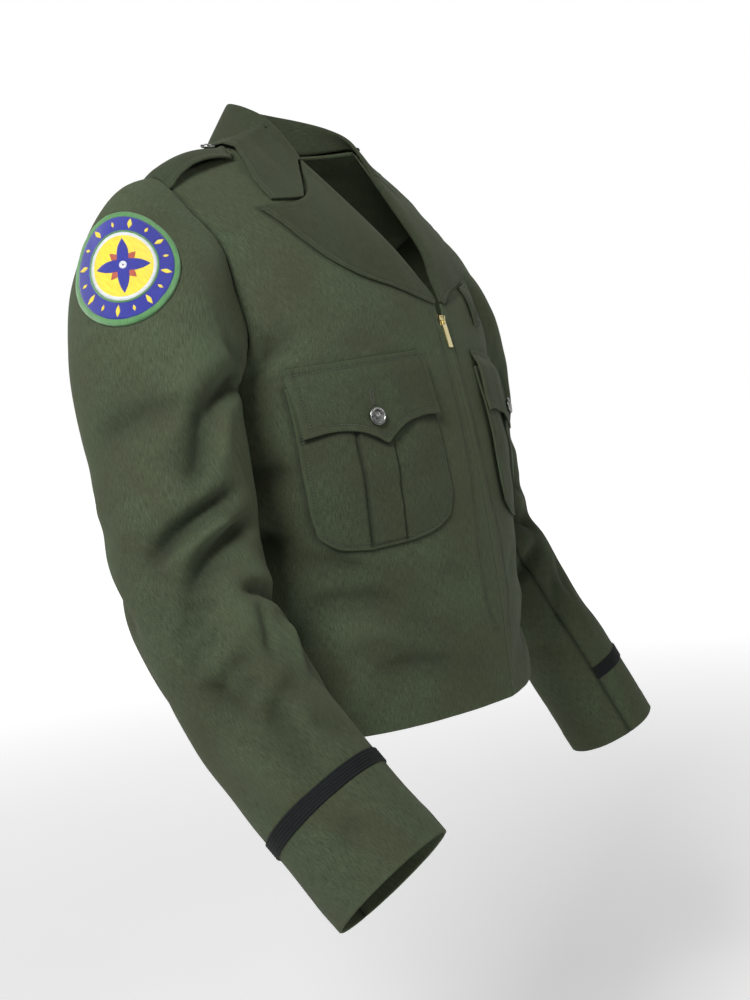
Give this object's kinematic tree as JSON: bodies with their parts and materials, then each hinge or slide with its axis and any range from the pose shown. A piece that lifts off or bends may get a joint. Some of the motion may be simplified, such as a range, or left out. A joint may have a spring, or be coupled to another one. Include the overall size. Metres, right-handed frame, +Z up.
{
  "type": "dress jacket",
  "caption": "Waist-length uniform dress jacket with notched lapels, zip front, flapped breast pockets, epaulets and braided cuffs, hollow and posed as worn.",
  "frame": {"origin": "midway between the two points where the shoulder seams meet the neck, where a wearer's shoulders carry the jacket", "axes": "+Z up, +X towards the wearer's left, -Y the way the wearer faces"},
  "size_m": [0.7086, 0.34, 0.7291],
  "materials": {
    "wool": "dark green wool blend, matte, fine heathered twill",
    "tape": "woven zip tape, matte dark green",
    "braid": "ribbed mohair braid, near black, slight sheen",
    "brass": "bright polished brass",
    "button": "dark oxidised metal, worn bright on raised parts",
    "patch": "satin-stitch embroidery, several thread colours"
  },
  "bodies": {
    "jacket": {"front_right": "wool", "front_left": "wool", "back": "wool", "sleeve_top_right": "wool", "sleeve_under_right": "wool", "sleeve_top_left": "wool", "sleeve_under_left": "wool", "lapel_right": "wool", "lapel_left": "wool", "collar": "wool", "pocket_right": "wool", "pocket_left": "wool", "flap_right": "wool", "flap_left": "wool", "pocket_button_right": "button", "pocket_button_left": "button", "epaulet_right": "wool", "epaulet_left": "wool", "epaulet_button_right": "button", "epaulet_button_left": "button", "braid_right": "braid", "braid_left": "braid", "sleeve_patch": "patch", "badge_tab": "wool", "zip_tape": "tape", "zip_slider": "brass"},
    "pull": {"zip_pull": "brass"}
  },
  "joints": [
    {"name": "zip_pull_swing", "type": "hinge", "parent": "jacket", "child": "pull", "pos_m": [0, -0.12323, -0.1928], "axis": [1, 0, 0], "range_deg": [-118, 0]}
  ]
}
